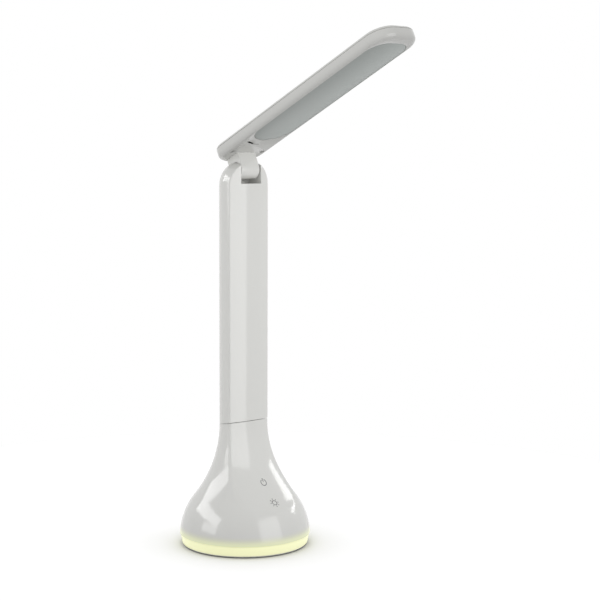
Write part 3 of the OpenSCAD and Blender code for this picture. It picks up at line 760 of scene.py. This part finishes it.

# %% [markdown]
# ## Light that seeps into the bell
# Just above the ring the white is tinted, because light from the ring comes through the plastic.
# Scattering inside the plastic could be simulated, but it is slow and grainy. A ramp over the
# height paints that light on instead: it is full at the ring and gone 9 mm above it, and along it
# the white is tinted and shines a little, a painted glow.

# %% White lit by the ring
SEEP_HEIGHT, SEEP_SHINE = 9, 0.2
PAINTED_SEEP_TINT, PAINTED_SEEP_GLOW = (0.77, 0.78, 0.6, 1), (0.9, 0.98, 0.4, 1)
lit_white = moulded("lit_white", **POLISHED)
tree = lit_white.node_tree
shader = tree.nodes["Principled BSDF"].inputs
place = tree.nodes["Texture Coordinate"].outputs["Object"]
height = add_node(tree, "ShaderNodeSeparateXYZ", "Z", {"Vector": place})
# painted light: the ring's tint and glow on the bell fade out over the height
seep = add_node(tree, "ShaderNodeMapRange", "Result",
                {"Value": height, "From Min": RING_TOP * MM,
                 "From Max": (RING_TOP + SEEP_HEIGHT) * MM, "To Min": 1, "To Max": 0},
                interpolation_type="SMOOTHERSTEP")
plain = shader["Base Color"].links[0].from_socket
warm = add_node(tree, "ShaderNodeMix", "Result",
                {"Factor": seep, "A": plain, "B": PAINTED_SEEP_TINT}, data_type="RGBA")
tree.links.new(warm, shader["Base Color"])
squared = add_node(tree, "ShaderNodeMath", 0, {0: seep, 1: 2.0}, operation="POWER")
shine = add_node(tree, "ShaderNodeMath", 0, {0: squared, 1: SEEP_SHINE}, operation="MULTIPLY")
tree.links.new(shine, shader["Emission Strength"])
shader["Emission Color"].default_value = PAINTED_SEEP_GLOW
print("ramp above the ring in mm:", RING_TOP, "to", RING_TOP + SEEP_HEIGHT)

# %% [markdown]
# ## The frosted finish, with painted shade
# The lamp in the head is off, so its panel is a dull grey green, darker on one long side, where
# less of the room's light comes in. That shade is painted: a ramp across the width scales the
# panel's colour, which keeps its fine grain; a second lamp for this would change the bezel too.

# %% Frosted finish with painted shade
PAINTED_SHADE_LEFT, PAINTED_SHADE_RIGHT = 0.8, 1.16
frost = moulded("frosted_panel", (0.585, 0.625, 0.605), 0.45, scale=900, bump=0.05)
tree = frost.node_tree
shader = tree.nodes["Principled BSDF"].inputs
place = tree.nodes["Texture Coordinate"].outputs["Object"]
across = add_node(tree, "ShaderNodeSeparateXYZ", "X", {"Vector": place})
# painted shade: the panel's colour is scaled down towards one long side
painted_shade = add_node(tree, "ShaderNodeMapRange", "Result",
                  {"Value": across, "From Min": -PANEL_HALF * MM, "From Max": PANEL_HALF * MM,
                   "To Min": PAINTED_SHADE_LEFT, "To Max": PAINTED_SHADE_RIGHT})
plain = shader["Base Color"].links[0].from_socket
shaded = add_node(tree, "ShaderNodeVectorMath", "Vector", {0: plain, "Scale": painted_shade},
                  operation="SCALE")
tree.links.new(shaded, shader["Base Color"])
print("panel ramp over a width of", 2 * PANEL_HALF, "mm")

# %% [markdown]
# ## Every part gets its finish
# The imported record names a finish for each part, also for those inside that an opened lamp would
# show: steel, brass, rubber, circuit boards, the sleeve of the cell. One table maps these names
# to materials, so that nothing is left with a default look.

# %% Table of finishes
finishes = {
    "gloss_white": white, "glow_ring": glow, "frosted_panel": frost,
    "white_inner": moulded("white_inner", (0.74, 0.74, 0.72), 0.45),
    "pad_rubber": moulded("pad_rubber", (0.03, 0.03, 0.03), 0.8, speck=0.2, scale=900, bump=0.3),
    "screw_steel": moulded("screw_steel", (0.6, 0.6, 0.61), 0.3, metallic=1.0),
    "screw_dark": moulded("screw_dark", (0.03, 0.03, 0.03), 0.55),
    "ballast_steel": moulded("ballast_steel", (0.4, 0.4, 0.42), 0.45, metallic=1.0, speck=0.1),
    "cell_sleeve": moulded("cell_sleeve", (0.05, 0.2, 0.42), 0.3),
    "circuit_green": moulded("circuit_green", (0.03, 0.2, 0.08), 0.35, speck=0.1),
    "circuit_white": moulded("circuit_white", (0.8, 0.8, 0.78), 0.35),
    "black_parts": moulded("black_parts", (0.02, 0.02, 0.02), 0.5),
    "socket_steel": moulded("socket_steel", (0.6, 0.6, 0.62), 0.3, metallic=1.0),
    "contact_brass": moulded("contact_brass", (0.6, 0.42, 0.16), 0.35, metallic=1.0),
    "led_warm": moulded("led_warm", (0.9, 0.75, 0.3), 0.4),
    "led_cool": moulded("led_cool", (0.9, 0.85, 0.55), 0.4),
    "lead_sleeve": moulded("lead_sleeve", (0.75, 0.75, 0.73), 0.5),
    "pin_steel": moulded("pin_steel", (0.55, 0.55, 0.56), 0.25, metallic=1.0),
    "washer_dark": moulded("washer_dark", (0.04, 0.04, 0.042), 0.5),
}
print("finishes in the table:", len(finishes))

# %% Giving out the finishes
slot_of = {row["node"]: row["material_slot"] for row in frame["record"]["subparts"]}
for name, node in frame["nodes"].items():
    node.data.materials.clear()
    node.data.materials.append(finishes[slot_of[name]])
bell.data.materials.append(lit_white)
for piece in (post, post_front, head_slab, head_cover, tongue):
    piece.data.materials.append(white)
# the black second material is painted shade on the walls of the curved slot
head_slab.data.materials.append(finishes["black_parts"])
ring.data.materials.append(glow)
panel.data.materials.append(frost)
print_grey = moulded("key_print", (0.12, 0.12, 0.125), 0.4, speck=0.03, scale=900)
for mark in marks:
    mark.data.materials.append(print_grey)
print("carried-over parts with a finish:", len(frame["nodes"]))

# %% [markdown]
# ## The white studio
# The lamp stands on a white table in front of white paper. Paper could be modelled, but then it
# would need light of its own, and that would wash out the white plastic. The world takes its
# place: white to look at and in reflections, and weaker as a light.

# %% World
WORLD_LIGHT = 0.6


def seen_directly(tree):
    """One for camera, glossy and transmission rays, nought for all others."""
    rays = tree.nodes.new("ShaderNodeLightPath").outputs
    seen = rays["Is Camera Ray"]
    for kind in ("Is Glossy Ray", "Is Transmission Ray"):
        seen = add_node(tree, "ShaderNodeMath", 0, {0: seen, 1: rays[kind]}, operation="MAXIMUM")
    return seen


studio_world = bpy.data.worlds.new("studio")
scene.world = studio_world
studio_world.use_nodes = True
tree = studio_world.node_tree
paper_light = tree.nodes["Background"].inputs
paper_light["Color"].default_value = (1, 1, 1, 1)
level = add_node(tree, "ShaderNodeMapRange", "Result",
                 {"Value": seen_directly(tree), "To Min": WORLD_LIGHT, "To Max": 1.0})
tree.links.new(level, paper_light["Strength"])
scene.view_settings.view_transform = "Standard"
print("world as a light:", WORLD_LIGHT)

# %% [markdown]
# ## The table
# The floor is a small disc that takes the soft shadow. To look at, it is so pale that it comes
# out white where nothing shades it; for the light it throws back it is light grey, or the
# underside of the head would be too bright. Close to the ring the shadow is deepened with
# ambient occlusion, which is how little of the room a spot can see.

# %% Floor
FLOOR_R, OCCLUSION_REACH = 0.45, 0.05
PALE_SHADED, PALE_OPEN, THROWS_BACK = 0.6, 0.8, 0.22
release()
bpy.ops.mesh.primitive_circle_add(vertices=96, radius=FLOOR_R, fill_type="NGON",
                                  location=(0, 0, 0))
floor = bpy.context.object
floor.name = "floor"
floor_look = bpy.data.materials.new("floor")
floor_look.use_nodes = True
tree = floor_look.node_tree
tree.nodes.remove(tree.nodes["Principled BSDF"])
openness = add_node(tree, "ShaderNodeAmbientOcclusion", "AO", {"Distance": OCCLUSION_REACH})
contact = add_node(tree, "ShaderNodeMapRange", "Result",
                   {"Value": openness, "From Min": 0.5, "To Min": PALE_SHADED,
                    "To Max": PALE_OPEN})
pale = add_node(tree, "ShaderNodeMix", "Result",
                {"Factor": seen_directly(tree), "A": [THROWS_BACK] * 3 + [1], "B": contact},
                data_type="RGBA")
paper = add_node(tree, "ShaderNodeBsdfDiffuse", "BSDF", {"Color": pale})
tree.links.new(paper, tree.nodes["Material Output"].inputs["Surface"])
floor.data.materials.append(floor_look)
print("floor radius in m:", FLOOR_R)

# %% [markdown]
# ## Softboxes
# Polished plastic shows its lamps: a broad light band down the front, one on the left of the
# bell and a bright line on the right edge of the sweep. A ray from the camera was followed to
# each band and mirrored there, and a softbox was put where the mirrored rays go. These boxes
# give reflections alone; the weaker fills light the matt side of the plastic. Light linking
# gives the stand, the head and the table their own fills, as flags do in a studio.

# %% What each light reaches
head_side = {"head_tray_piece", "head_cover_piece", "frosted_panel"}
reach = {kind: bpy.data.collections.new(kind + "_lit") for kind in ("stand", "head", "table")}
reach["table"].objects.link(floor)
for piece in scene.objects:
    if piece.type == "MESH" and piece is not floor:
        reach["head" if piece.name in head_side else "stand"].objects.link(piece)

# %% A softbox
LOOKED_AT = Matrix.Translation((0, 0, 0.05))


def softbox(name, turn, rise, distance, wide, tall, radiance, mirror=False, only=None, roll=0):
    """A rectangle of light round the base; metres, and degrees with turn 0 at the front."""
    data = bpy.data.lights.new(name, "AREA")
    data.shape = "RECTANGLE"
    data.size, data.size_y = wide, tall
    data.energy = radiance * math.pi * wide * tall
    box = bpy.data.objects.new(name, data)
    facing = Matrix.Rotation(math.radians(turn), 4, "Z")
    facing = facing @ Matrix.Rotation(math.radians(90 - rise), 4, "X")
    facing = facing @ Matrix.Rotation(math.radians(roll), 4, "Z")
    box.matrix_world = LOOKED_AT @ facing @ Matrix.Translation((0, 0, distance))
    box.visible_camera = False
    box.visible_diffuse = not mirror
    box.visible_glossy = mirror
    if only:
        box.light_linking.receiver_collection = reach[only]
    scene.collection.objects.link(box)


# %% Boxes for the reflections
softbox("front_mirror", turn=7.5, rise=12, distance=1.25, wide=0.88, tall=1.02, radiance=2.1,
        mirror=True)
softbox("left_mirror", turn=-126, rise=29, distance=1.4, wide=1.7, tall=0.42, radiance=4.4,
        mirror=True, only="stand")
softbox("left_low_mirror", turn=-108, rise=12, distance=1.4, wide=0.75, tall=0.3, radiance=3.0,
        mirror=True, only="stand")
softbox("right_mirror", turn=82, rise=27, distance=1.4, wide=0.72, tall=0.25, radiance=5.0,
        mirror=True, only="stand", roll=41)

# %% Fills
softbox("front_fill", turn=18, rise=8, distance=1.2, wide=1.2, tall=0.8, radiance=1.8,
        only="stand")
softbox("left_fill", turn=-105, rise=4, distance=0.75, wide=1.1, tall=0.36, radiance=1.35,
        only="stand")
softbox("head_fill", turn=-75, rise=25, distance=1.2, wide=1.0, tall=0.8, radiance=0.62,
        only="head")
softbox("table_light", turn=0, rise=90, distance=1.3, wide=2.0, tall=2.0, radiance=1.9,
        only="table")
